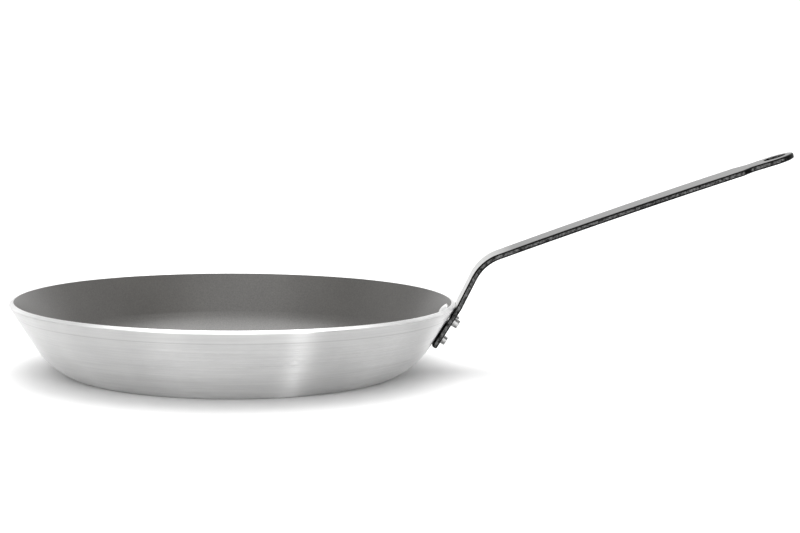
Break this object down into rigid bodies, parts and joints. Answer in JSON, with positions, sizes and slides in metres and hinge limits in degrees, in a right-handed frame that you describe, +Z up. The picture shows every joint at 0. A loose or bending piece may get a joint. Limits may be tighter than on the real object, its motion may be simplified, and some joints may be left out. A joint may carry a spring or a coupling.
{
  "type": "omelette pan",
  "caption": "Shallow round omelette pan with flared sides, a non-stick lining, and a riveted strip handle that rises to a hanging eye.",
  "frame": {"origin": "centre of the flat base, on the surface that the pan stands on", "axes": "+Z up out of the pan; +X from the centre towards the handle's tip; the pan is mirror symmetric about the XZ plane"},
  "size_m": [0.5587, 0.3192, 0.1623],
  "materials": {
    "body": "satin, lathe-brushed around the axis",
    "lining": "baked non-stick coating, warm grey with fine speckle",
    "handle": "mottled grey steel strip, dark at the edges",
    "rivets": "bright, smooth domes inside and set ends outside"
  },
  "bodies": {
    "root": {"pan_body": "body", "nonstick_lining": "lining", "handle": "handle", "upper_rivet_left": "rivets", "upper_rivet_right": "rivets", "lower_rivet": "rivets"}
  },
  "joints": []
}
